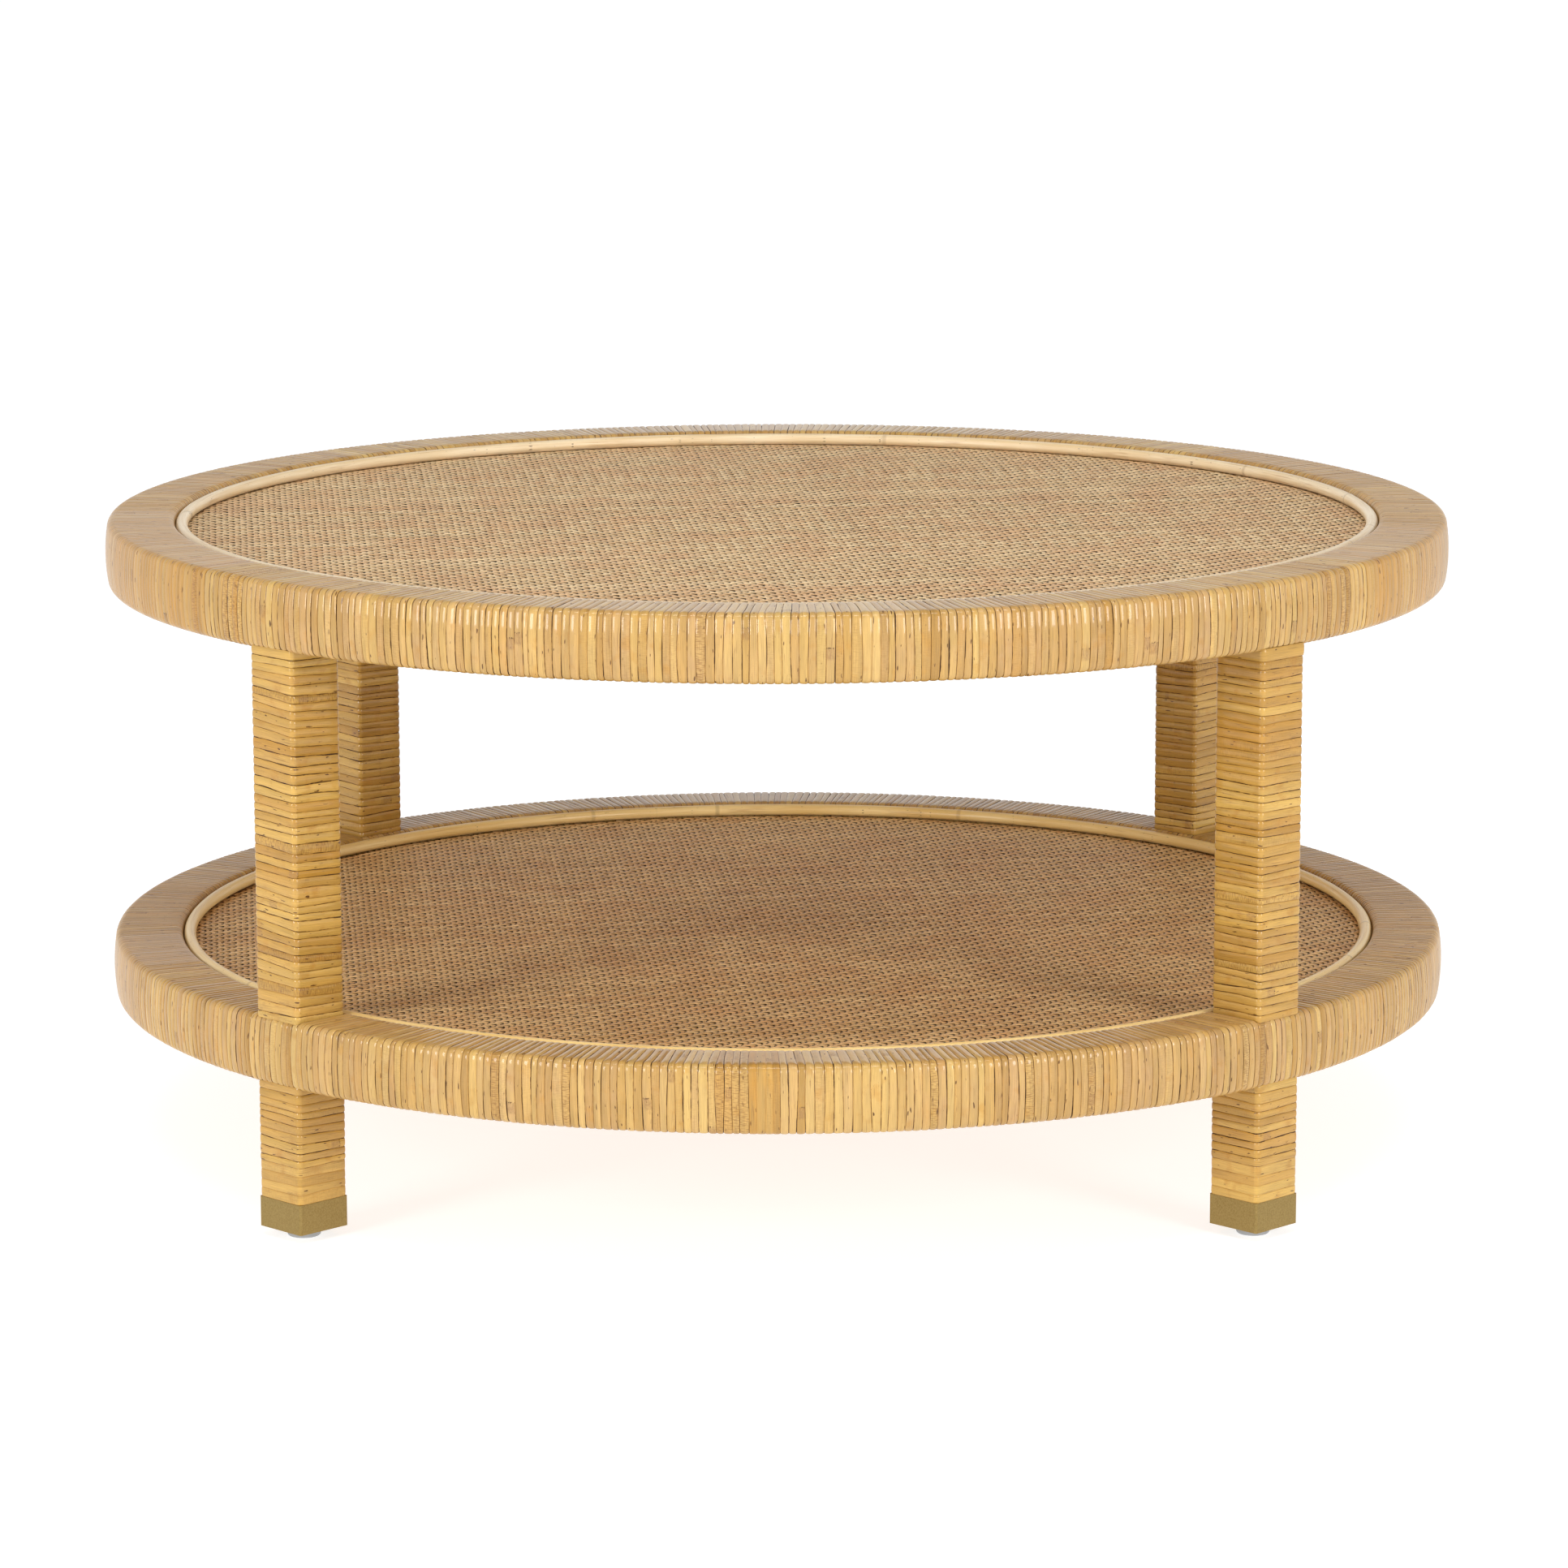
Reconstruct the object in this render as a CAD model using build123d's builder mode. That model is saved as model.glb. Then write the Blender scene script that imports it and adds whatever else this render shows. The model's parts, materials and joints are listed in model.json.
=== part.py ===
"""Round wicker coffee table: a timber frame wrapped in rattan peel, with a woven top and a woven shelf.

Four square posts run the full height. The top ring and the shelf ring are each four curved rails,
dowelled between the posts. Rattan peel covers the rails, the posts and the faces where they meet. Each
ring holds a plywood panel on two battens, a woven mat on the panel and a round reed in the corner
between the mat and the ring. Brass ferrules with levelling glides end the posts.

Millimetres, +Z up, origin on the floor under the table's centre, front towards -Y.
"""

import os
from math import cos, radians, sin

from build123d import *

os.makedirs("parts", exist_ok=True)

# ---------------------------------------------------------------- driving dimensions

# Overall
table_diameter = 1016.0
table_height = 478.0
shelf_height = 163.0  # floor to the top of the shelf ring

# Posts, and the peel wound round them
leg_core_width = 42.0
leg_wrap_thickness = 1.8
leg_corner_radius = 4.0  # outside the wrap
leg_setback = 2.9  # from the ring's outer surface in to the wrapped post

# Ring section, over the wrap
ring_height = 50.0
ring_lip = 4.5  # how far the ring runs in past the wrapped post
ring_corner_radius = 8.0
ring_wrap_thickness = 1.6

# Panels, mats and reeds
mat_recess = 10.0  # from the ring's top down to the mat
mat_thickness = 3.0
mat_rim_step = 0.3  # the mat is pressed down this much under the reed
board_thickness = 9.0
board_gap = 0.5  # between the board's edge and the ring
reed_diameter = 9.5
reed_gap = 0.05  # between the reed and what it lies against
scarf_length = 45.0
scarf_angle = 18.0
scarf_gap = 0.2
scarf_places = {"top": 180.0, "shelf": 34.0}  # angle of each reed's scarf joint

# Battens under the panels
batten_width = 45.0
batten_spacing = 300.0
batten_recess = 8.0  # from the ring's underside up to the batten's
tenon_depth = 10.0

# Brass ferrules
ferrule_height = 22.0
ferrule_wall = 1.2
ferrule_clearance = 0.15
ferrule_corner_radius = 1.5

# Levelling glides
glide_diameter = 24.0
glide_height = 7.0
glide_edge_radius = 1.8
glide_skin = 2.5  # plastic under the stud's head
stud_diameter = 8.0
stud_length = 30.0
stud_head_diameter = 15.0
stud_head_height = 2.5
stud_running_clearance = 0.05
stud_hole_clearance = 0.5
stud_end_room = 3.0
insert_diameter = 11.0
insert_length = 16.0

# Fasteners
dowel_diameter = 8.0
dowel_length = 40.0
dowel_spacing = 24.0
dowel_web = 6.0  # wood left between the dowels that enter a post from both sides
screw_diameter = 4.0
screw_head_diameter = 8.0
screw_head_height = 2.6
screw_bite = 6.0  # how far the screw enters the board
screws_per_batten = 4
screw_spacing = 220.0
brad_diameter = 1.4
brad_head_diameter = 2.6
brad_head_height = 0.8
brad_head_sink = 0.5
brad_length = 22.0
brads_per_reed = 16
pin_diameter = 2.0
pin_length = 12.0
pin_head_diameter = 4.0
pin_head_height = 0.8
pin_drop = 8.0  # from the ferrule's top edge down to the pin

# ---------------------------------------------------------------- worked-out sizes

outer_radius = table_diameter / 2
leg_width = leg_core_width + 2 * leg_wrap_thickness
leg_radius = outer_radius - leg_setback - leg_width / 2
leg_core_corner_radius = leg_corner_radius - leg_wrap_thickness
ring_width = leg_setback + leg_width + ring_lip
ring_centre_radius = outer_radius - ring_width / 2
ring_inner_radius = outer_radius - ring_width
rail_width = ring_width - 2 * ring_wrap_thickness
rail_height = ring_height - 2 * ring_wrap_thickness
rail_corner_radius = ring_corner_radius - ring_wrap_thickness
board_drop = mat_recess + mat_thickness  # from the ring's top to the board's top
board_radius = ring_inner_radius - board_gap
batten_height = ring_height - board_drop - board_thickness - batten_recess
batten_end_radius = ring_inner_radius + ring_wrap_thickness + tenon_depth
reed_radius = reed_diameter / 2
reed_centre_radius = ring_inner_radius - reed_gap - reed_radius
reed_drop = mat_recess + mat_rim_step - reed_gap - reed_radius  # ring's top to the reed's centre
post_bottom = glide_height + ferrule_wall
ferrule_outside = leg_core_width + 2 * (ferrule_clearance + ferrule_wall)
ferrule_inside = leg_core_width + 2 * ferrule_clearance
ferrule_top = glide_height + ferrule_height
stud_top = glide_skin + stud_length
stud_hole_radius = stud_diameter / 2 + stud_hole_clearance

corners = {"front_left": 225, "front_right": 315, "back_right": 45, "back_left": 135}
sides = {"front": 270, "right": 0, "back": 90, "left": 180}
rings = {"top": table_height, "shelf": shelf_height}  # the height of each ring's top


def radial_plane(angle):
    """Upright plane through the table's axis: x outward, y up, normal clockwise round the table."""
    outward = (cos(radians(angle)), sin(radians(angle)), 0)
    clockwise = (sin(radians(angle)), -cos(radians(angle)), 0)
    return Plane(origin=(0, 0, 0), x_dir=outward, z_dir=clockwise)


def level_plane(angle, height):
    """Level plane at a height, turned so that x points outward at the angle."""
    outward = (cos(radians(angle)), sin(radians(angle)), 0)
    return Plane(origin=(0, 0, height), x_dir=outward, z_dir=(0, 0, 1))


def save(part, name):
    """Label one finished piece and write it."""
    part.label = name
    export_step(part, f"parts/{name}.step")


# ---------------------------------------------------------------- fasteners

# Beech dowels: two through each end of each rail, into the side of the post.
with BuildPart() as rail_dowels:
    for ring_top in rings.values():
        middle = ring_top - ring_height / 2
        for angle in corners.values():
            for way in (-1, 1):
                with BuildSketch(radial_plane(angle).offset(way * dowel_web / 2)):
                    with Locations((ring_centre_radius, middle)):
                        with GridLocations(0, dowel_spacing, 1, 2):
                            Circle(dowel_diameter / 2)
                extrude(amount=way * dowel_length)
save(rail_dowels.part, "rail_dowels")

# Countersunk wood screws, up through the battens into the boards.
with BuildPart() as panel_screws:
    for ring_top in rings.values():
        batten_bottom = ring_top - ring_height + batten_recess
        with Locations(Plane.XY.offset(batten_bottom)):
            with GridLocations(screw_spacing, batten_spacing, screws_per_batten, 2):
                Cylinder(
                    screw_diameter / 2,
                    batten_height + screw_bite,
                    align=(Align.CENTER, Align.CENTER, Align.MIN),
                )
                Cone(
                    screw_head_diameter / 2,
                    screw_diameter / 2,
                    screw_head_height,
                    align=(Align.CENTER, Align.CENTER, Align.MIN),
                )
save(panel_screws.part, "panel_screws")

# Brads, straight out through each reed into the ring, spread evenly and clear of the posts.
with BuildPart() as reed_brads:
    brad_start = reed_centre_radius - reed_radius + brad_head_sink
    brad_step = 360 / brads_per_reed
    for ring_top in rings.values():
        for count in range(brads_per_reed):
            brad_plane = radial_plane((count + 0.5) * brad_step)
            with BuildSketch(brad_plane):
                with Locations((brad_start, ring_top - reed_drop)):
                    Rectangle(brad_length, brad_diameter / 2, align=(Align.MIN, Align.MIN))
                    Rectangle(
                        brad_head_height, brad_head_diameter / 2, align=(Align.MIN, Align.MIN)
                    )
            brad_axis = Axis(origin=(0, 0, ring_top - reed_drop), direction=brad_plane.x_dir)
            revolve(axis=brad_axis)
save(reed_brads.part, "reed_brads")

# Round-headed brass pins, one through the inner face of each ferrule into the post.
with BuildPart() as ferrule_pins:
    pin_height = ferrule_top - pin_drop
    pin_start = leg_radius - ferrule_outside / 2
    for angle in corners.values():
        pin_plane = radial_plane(angle)
        with BuildSketch(pin_plane):
            with Locations((pin_start, pin_height)):
                Rectangle(pin_length, pin_diameter / 2, align=(Align.MIN, Align.MIN))
                Rectangle(
                    pin_head_height, pin_head_diameter / 2, align=(Align.MAX, Align.MIN)
                )
        revolve(axis=Axis(origin=(0, 0, pin_height), direction=pin_plane.x_dir))
save(ferrule_pins.part, "ferrule_pins")

# Threaded inserts, pressed up into the posts' ends. The thread is a plain bore here.
with BuildPart() as glide_inserts:
    for angle in corners.values():
        with BuildSketch(level_plane(angle, post_bottom)):
            with Locations((leg_radius, 0)):
                Circle(insert_diameter / 2)
                Circle(stud_diameter / 2 + stud_running_clearance, mode=Mode.SUBTRACT)
        extrude(amount=insert_length)
save(glide_inserts.part, "glide_inserts")

# ---------------------------------------------------------------- panels

# Two battens under each panel, tenoned through the wrap into the left and right rails.
with BuildPart() as panel_battens:
    for ring_top in rings.values():
        with BuildSketch(Plane.XY.offset(ring_top - ring_height + batten_recess)):
            with GridLocations(0, batten_spacing, 1, 2):
                Rectangle(table_diameter, batten_width)
        extrude(amount=batten_height)
    with BuildSketch():
        Circle(batten_end_radius)
    extrude(amount=table_height, mode=Mode.INTERSECT)
batten_blanks = panel_battens.part
with BuildPart() as panel_battens:
    add(batten_blanks)
    add(panel_screws.part, mode=Mode.SUBTRACT)
save(panel_battens.part, "panel_battens")

for ring_name, ring_top in rings.items():
    # Plywood disc, resting on the battens.
    with BuildPart() as panel_board:
        with BuildSketch(Plane.XY.offset(ring_top - board_drop - board_thickness)):
            Circle(board_radius)
        extrude(amount=board_thickness)
        add(panel_screws.part, mode=Mode.SUBTRACT)
    save(panel_board.part, f"{ring_name}_panel_board")

    # Woven mat: a flat disc, pressed slightly lower all round where the reed lies on it.
    with BuildPart() as mat:
        with BuildSketch(Plane.XY.offset(ring_top - board_drop)):
            Circle(board_radius)
        extrude(amount=mat_thickness - mat_rim_step)
        with BuildSketch(Plane.XY.offset(ring_top - board_drop)):
            Circle(reed_centre_radius - reed_radius)
        extrude(amount=mat_thickness)
    save(mat.part, f"{ring_name}_mat")

    # Reed: one round pole bent to a circle, its ends cut on the slant and butted together.
    scarf_place = scarf_places[ring_name]
    with BuildPart() as reed:
        with BuildSketch(radial_plane(scarf_place + 180)):
            with Locations((reed_centre_radius, ring_top - reed_drop)):
                Circle(reed_radius)
        revolve(axis=Axis.Z)
        with BuildSketch(level_plane(scarf_place, ring_top - reed_drop)):
            with Locations(Location((reed_centre_radius, 0), 90 + scarf_angle)):
                Rectangle(scarf_length, scarf_gap)
        extrude(amount=reed_diameter, both=True, mode=Mode.SUBTRACT)
        add(reed_brads.part, mode=Mode.SUBTRACT)
    save(reed.part, f"{ring_name}_reed")

# ---------------------------------------------------------------- posts and their feet

leg_cores = {}
for corner, angle in corners.items():
    # Square timber post, floor fitting to tabletop, bored for the dowels and the glide.
    with BuildPart() as leg_core:
        with BuildSketch(level_plane(angle, post_bottom)):
            with Locations((leg_radius, 0)):
                RectangleRounded(leg_core_width, leg_core_width, leg_core_corner_radius)
        extrude(amount=table_height - ring_wrap_thickness - post_bottom)
        with BuildSketch(level_plane(angle, post_bottom)):
            with Locations((leg_radius, 0)):
                Circle(stud_hole_radius)
        extrude(amount=stud_top + stud_end_room - post_bottom, mode=Mode.SUBTRACT)
        with BuildSketch(level_plane(angle, post_bottom)):
            with Locations((leg_radius, 0)):
                Circle(insert_diameter / 2)
        extrude(amount=insert_length, mode=Mode.SUBTRACT)
        add(rail_dowels.part, mode=Mode.SUBTRACT)
        add(ferrule_pins.part, mode=Mode.SUBTRACT)
    leg_cores[corner] = leg_core.part
    save(leg_core.part, f"leg_core_{corner}")

    # Peel wound round the post, in one length above the shelf ring and one below it.
    wrap_spans = {
        "upper": (shelf_height, table_height - ring_height),
        "lower": (ferrule_top, shelf_height - ring_height),
    }
    for span_name, (span_bottom, span_top) in wrap_spans.items():
        with BuildPart() as leg_wrap:
            with BuildSketch(level_plane(angle, span_bottom)):
                with Locations((leg_radius, 0)):
                    RectangleRounded(leg_width, leg_width, leg_corner_radius)
                    RectangleRounded(
                        leg_core_width,
                        leg_core_width,
                        leg_core_corner_radius,
                        mode=Mode.SUBTRACT,
                    )
            extrude(amount=span_top - span_bottom)
        save(leg_wrap.part, f"leg_wrap_{span_name}_{corner}")

    # Brass ferrule: a square cup on the post's end, with a hole for the glide's stud.
    with BuildPart() as ferrule:
        with BuildSketch(level_plane(angle, glide_height)):
            with Locations((leg_radius, 0)):
                RectangleRounded(ferrule_outside, ferrule_outside, ferrule_corner_radius)
        extrude(amount=ferrule_height)
        with BuildSketch(level_plane(angle, post_bottom)):
            with Locations((leg_radius, 0)):
                RectangleRounded(
                    ferrule_inside, ferrule_inside, leg_core_corner_radius + ferrule_clearance
                )
        extrude(amount=ferrule_height, mode=Mode.SUBTRACT)
        with BuildSketch(level_plane(angle, glide_height)):
            with Locations((leg_radius, 0)):
                Circle(stud_hole_radius)
        extrude(amount=ferrule_wall, mode=Mode.SUBTRACT)
        add(ferrule_pins.part, mode=Mode.SUBTRACT)
    save(ferrule.part, f"ferrule_{corner}")

    # Glide stud: a steel stud whose flat head is moulded into the glide's base.
    with BuildPart() as glide_stud:
        with BuildSketch(level_plane(angle, glide_skin)):
            with Locations((leg_radius, 0)):
                Circle(stud_diameter / 2)
        extrude(amount=stud_length)
        with BuildSketch(level_plane(angle, glide_skin)):
            with Locations((leg_radius, 0)):
                Circle(stud_head_diameter / 2)
        extrude(amount=stud_head_height)
        chamfer(glide_stud.faces().sort_by(Axis.Z)[-1].edges(), stud_diameter / 8)
    save(glide_stud.part, f"glide_stud_{corner}")

    # Glide base: a plastic foot with a flat sole and a rounded lower edge.
    with BuildPart() as glide_base:
        with BuildSketch(level_plane(angle, 0)):
            with Locations((leg_radius, 0)):
                Circle(glide_diameter / 2)
        extrude(amount=glide_height)
        fillet(glide_base.faces().sort_by(Axis.Z)[0].edges(), glide_edge_radius)
        add(glide_stud.part, mode=Mode.SUBTRACT)
    save(glide_base.part, f"glide_base_{corner}")

# ---------------------------------------------------------------- rings

for ring_name, ring_top in rings.items():
    ring_bottom = ring_top - ring_height
    section_centre = (ring_centre_radius, ring_top - ring_height / 2)
    rail_cores = []

    for side, angle in sides.items():
        # Timber rail: a quarter ring with rounded edges, cut square against both posts.
        with BuildPart() as rail_core:
            with BuildSketch(radial_plane(angle - 45)):
                with Locations(section_centre):
                    RectangleRounded(rail_width, rail_height, rail_corner_radius)
            revolve(axis=Axis.Z, revolution_arc=90)
            for end in (-45, 45):
                with BuildSketch(level_plane(angle + end, ring_bottom)):
                    with Locations((ring_centre_radius, 0)):
                        Rectangle(2 * ring_width, leg_core_width)
                extrude(amount=ring_height, mode=Mode.SUBTRACT)
            add(rail_dowels.part, mode=Mode.SUBTRACT)
            add(reed_brads.part, mode=Mode.SUBTRACT)
            add(batten_blanks, mode=Mode.SUBTRACT)
        rail_cores.append(rail_core.part)
        save(rail_core.part, f"{ring_name}_rail_core_{side}")

        # Peel wound round the rail, from the facing on one post to the facing on the next.
        with BuildPart() as rail_wrap:
            with BuildSketch(radial_plane(angle - 45)):
                with Locations(section_centre):
                    RectangleRounded(ring_width, ring_height, ring_corner_radius)
                    RectangleRounded(
                        rail_width, rail_height, rail_corner_radius, mode=Mode.SUBTRACT
                    )
            revolve(axis=Axis.Z, revolution_arc=90)
            for end in (-45, 45):
                with BuildSketch(level_plane(angle + end, ring_bottom)):
                    with Locations((ring_centre_radius, 0)):
                        Rectangle(2 * ring_width, leg_width)
                extrude(amount=ring_height, mode=Mode.SUBTRACT)
            add(reed_brads.part, mode=Mode.SUBTRACT)
            add(batten_blanks, mode=Mode.SUBTRACT)
        save(rail_wrap.part, f"{ring_name}_rail_wrap_{side}")

    for corner, angle in corners.items():
        # Leg facing: strips laid over the post, flush with the wrapped rails on both sides.
        with BuildPart() as leg_facing:
            with BuildSketch(radial_plane(angle - 45)):
                with Locations(section_centre):
                    RectangleRounded(ring_width, ring_height, ring_corner_radius)
            revolve(axis=Axis.Z, revolution_arc=90)
            with BuildSketch(level_plane(angle, ring_bottom)):
                with Locations((ring_centre_radius, 0)):
                    Rectangle(2 * ring_width, leg_width)
            extrude(amount=ring_height, mode=Mode.INTERSECT)
            add(leg_cores[corner], mode=Mode.SUBTRACT)
            add(rail_cores, mode=Mode.SUBTRACT)
            add(rail_dowels.part, mode=Mode.SUBTRACT)
        save(leg_facing.part, f"{ring_name}_leg_facing_{corner}")
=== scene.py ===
"""Looks of the round wicker coffee table: wound peel, woven mats, reeds, brass feet and the studio.

Everything is in metres, in the CAD model's frame. The wound and woven parts replace the plain CAD shells
with real strips and strands; the boards, battens, fasteners, ferrules and glides stay and get materials.
"""

import json
import math

import bpy
import numpy as np
from mathutils import Euler, Matrix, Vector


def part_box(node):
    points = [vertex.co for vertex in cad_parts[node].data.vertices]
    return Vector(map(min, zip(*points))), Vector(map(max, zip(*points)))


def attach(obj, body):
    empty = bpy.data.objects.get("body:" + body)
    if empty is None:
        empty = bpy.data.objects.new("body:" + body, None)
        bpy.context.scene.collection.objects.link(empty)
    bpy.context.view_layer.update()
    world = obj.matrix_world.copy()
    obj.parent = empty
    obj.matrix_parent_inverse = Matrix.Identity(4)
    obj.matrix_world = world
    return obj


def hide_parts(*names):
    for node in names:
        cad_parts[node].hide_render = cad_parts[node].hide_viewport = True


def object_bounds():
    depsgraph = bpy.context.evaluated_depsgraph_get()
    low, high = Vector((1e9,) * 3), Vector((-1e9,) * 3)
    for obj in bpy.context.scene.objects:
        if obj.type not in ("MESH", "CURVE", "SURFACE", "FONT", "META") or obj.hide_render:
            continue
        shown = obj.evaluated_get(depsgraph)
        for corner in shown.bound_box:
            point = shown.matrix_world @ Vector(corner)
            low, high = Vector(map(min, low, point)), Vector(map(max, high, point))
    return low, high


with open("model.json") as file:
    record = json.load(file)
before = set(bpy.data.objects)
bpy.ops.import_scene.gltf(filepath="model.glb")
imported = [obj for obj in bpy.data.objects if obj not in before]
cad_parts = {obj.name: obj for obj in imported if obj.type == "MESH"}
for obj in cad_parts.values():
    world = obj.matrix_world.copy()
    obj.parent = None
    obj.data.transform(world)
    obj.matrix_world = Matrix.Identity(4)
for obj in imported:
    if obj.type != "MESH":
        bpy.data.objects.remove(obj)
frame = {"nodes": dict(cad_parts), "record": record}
cad_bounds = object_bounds()

MM = 0.001
CORNERS = {"front_left": 225, "front_right": 315, "back_right": 45, "back_left": 135}
SIDES = {"front": 270, "right": 0, "back": 90, "left": 180}
RINGS = ("top", "shelf")

# ---------------------------------------------------------------- sizes read from the frame


def cad_points(node):
    """A CAD node's vertices as an array."""
    data = frame["nodes"][node].data
    points = np.empty(len(data.vertices) * 3)
    data.vertices.foreach_get("co", points)
    return points.reshape(-1, 3)


def spread(node, angle):
    """Lowest and highest distance of a CAD node outward and sideways at an angle round the table."""
    points = cad_points(node)
    turn = math.radians(angle)
    outward = points[:, 0] * math.cos(turn) + points[:, 1] * math.sin(turn)
    sideways = points[:, 1] * math.cos(turn) - points[:, 0] * math.sin(turn)
    return (outward.min(), outward.max()), (sideways.min(), sideways.max())


rail_points = cad_points("top_rail_wrap_front")
RING_OUTER = np.hypot(rail_points[:, 0], rail_points[:, 1]).max()
RING_INNER = np.hypot(rail_points[:, 0], rail_points[:, 1]).min()
RING_SPAN = {ring: tuple(end.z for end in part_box(f"{ring}_rail_wrap_front")) for ring in RINGS}
leg_out, leg_side = spread("leg_wrap_upper_front_left", CORNERS["front_left"])
LEG_RADIUS = sum(leg_out) / 2
LEG_HALF = (leg_side[1] - leg_side[0]) / 2
MAT_SPAN = {ring: tuple(end.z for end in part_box(f"{ring}_mat")) for ring in RINGS}
reed_low, reed_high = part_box("top_reed")
REED_RADIUS = (reed_high.z - reed_low.z) / 2
REED_GAP = 0.05 * MM
REED_CENTRE_RADIUS = RING_INNER - REED_GAP - REED_RADIUS

RING_CORNER_RADIUS = 6 * MM
LEG_CORNER_RADIUS = 4 * MM
PEEL_PITCH = 5.9 * MM
COURSE_PITCH = 6.2 * MM
STRAND_PITCH = 4.6 * MM

# ---------------------------------------------------------------- meshes


class Weft:
    """Closed strips of quads, gathered as arrays, with what the materials read at each point."""

    def __init__(self):
        self.points, self.quads, self.uvs, self.tones, self.marks, self.seam_shades = [], [], [], [], [], []
        self.count = 0

    def add(self, points, uv, tone, mark, closed, seam_shade=0.0):
        """One strip: rings of points across it, joined along it, with its ends capped unless it closes."""
        rings, across = points.shape[:2]
        along = rings if closed else rings - 1
        grid = np.arange(rings * across).reshape(rings, across)
        here, there = grid[:along], np.roll(grid, -1, axis=0)[:along]
        quads = np.stack([here, np.roll(here, -1, 1), np.roll(there, -1, 1), there], -1)
        uv_there = np.concatenate([uv[1:], uv[:1] + [0, uv[-1, 0, 1] - uv[-2, 0, 1]]])[:along]
        if closed:
            uv_there[-1, :, 1] = 2 * uv[-1, :, 1] - uv[-2, :, 1]
        uv_here = uv[:along]
        uvs = np.stack([uv_here, np.roll(uv_here, -1, 1), np.roll(uv_there, -1, 1), uv_there], -2)
        quads, uvs = quads.reshape(-1, 4), uvs.reshape(-1, 4, 2)
        if not closed:
            half = across // 2 - 1
            ladder = np.array([[k, k + 1, across - 2 - k, across - 1 - k] for k in range(half)])
            caps = np.concatenate([grid[0][ladder][:, ::-1], grid[-1][ladder]])
            cap_uvs = np.concatenate([uv[0][ladder][:, ::-1], uv[-1][ladder]])
            quads, uvs = np.concatenate([quads, caps]), np.concatenate([uvs, cap_uvs])
        flat = points.reshape(-1, 3)
        a, b, c, d = (flat[quads[:, k]] - flat[0] for k in range(4))
        if (np.cross(a, b) * c + np.cross(a, c) * d).sum() < 0:
            quads, uvs = quads[:, ::-1], uvs[:, ::-1]
        self.points.append(flat)
        self.quads.append(quads + self.count)
        self.uvs.append(uvs)
        self.tones.append(np.broadcast_to(tone, (len(flat), 4)))
        self.marks.append(np.broadcast_to(mark, (rings, across)).reshape(-1))
        self.seam_shades.append(np.full(len(flat), seam_shade))
        self.count += len(flat)

    def build(self, name, material, replaced):
        """Makes the object, which rides on the frame in place of the CAD nodes."""
        points, quads = np.concatenate(self.points), np.concatenate(self.quads)
        data = bpy.data.meshes.new(name)
        data.vertices.add(len(points))
        data.vertices.foreach_set("co", points.ravel())
        data.loops.add(quads.size)
        data.loops.foreach_set("vertex_index", quads.ravel().astype(np.int32))
        data.polygons.add(len(quads))
        data.polygons.foreach_set("loop_start", np.arange(0, quads.size, 4, dtype=np.int32))
        data.update(calc_edges=True)
        data.polygons.foreach_set("use_smooth", np.ones(len(quads), bool))
        data.uv_layers.new(name="strip").uv.foreach_set("vector", np.concatenate(self.uvs).ravel())
        tone = data.attributes.new("tone", "FLOAT_COLOR", "POINT")
        tone.data.foreach_set("color", np.concatenate(self.tones).ravel())
        for label, values in (("mark", self.marks), ("seam_shade", self.seam_shades)):
            data.attributes.new(label, "FLOAT", "POINT").data.foreach_set("value", np.concatenate(values))
        data.validate()
        piece = bpy.data.objects.new(name, data)
        bpy.context.scene.collection.objects.link(piece)
        data.materials.append(material)
        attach(piece, "frame")
        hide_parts(*replaced)
        return piece


# A strip of peel in section: where each point lies across it (-1 to 1) and how deep under the crown.
PEEL_ACROSS = np.array([-1, -0.93, -0.7, -0.35, 0.35, 0.7, 0.93, 1, 0.97, -0.97])
PEEL_DROP = np.array([0.62, 0.48, 0.22, 0.03, 0.03, 0.22, 0.48, 0.62, 1.3, 1.3]) * MM

# What sets kinds of strip apart: how domed they are, how open their seams are and how much painted shade the
# seams get, how orange and how pale.
KINDS = {
    "plain": {"dome": 1.0, "open": 1.0, "seam_shade": 1.0, "orange": 0.0, "pale": 0.0, "rib": 0.0},
    "post": {"dome": 0.9, "open": 0.7, "seam_shade": 1.1, "orange": 0.1, "pale": 0.05, "rib": 0.0},
    "quiet": {"dome": 0.75, "open": 0.35, "seam_shade": 0.85, "orange": 0.3, "pale": -0.35, "rib": 0.0},
    "merged": {"dome": 0.4, "open": 0.08, "seam_shade": 0.35, "orange": 0.55, "pale": -0.35, "rib": 0.0},
    "ribbed": {"dome": 1.0, "open": 1.0, "seam_shade": 1.0, "orange": 0.3, "pale": 0.0, "rib": 1.0},
    "pale": {"dome": 0.5, "open": 0.05, "seam_shade": 0.3, "orange": 0.0, "pale": 0.35, "rib": 0.0},
}


def waves(rng, run, rows, sizes, closed_length):
    """Smooth random curves along a run, one per row, that close on themselves."""
    turn = 2 * np.pi * run / closed_length
    total = np.zeros((rows, len(run)))
    for order, size in enumerate(sizes, start=1):
        phase = rng.uniform(0, 2 * np.pi, (rows, 1))
        total += size * rng.normal(0, 1, (rows, 1)) * np.sin(order * turn + phase)
    return total


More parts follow.
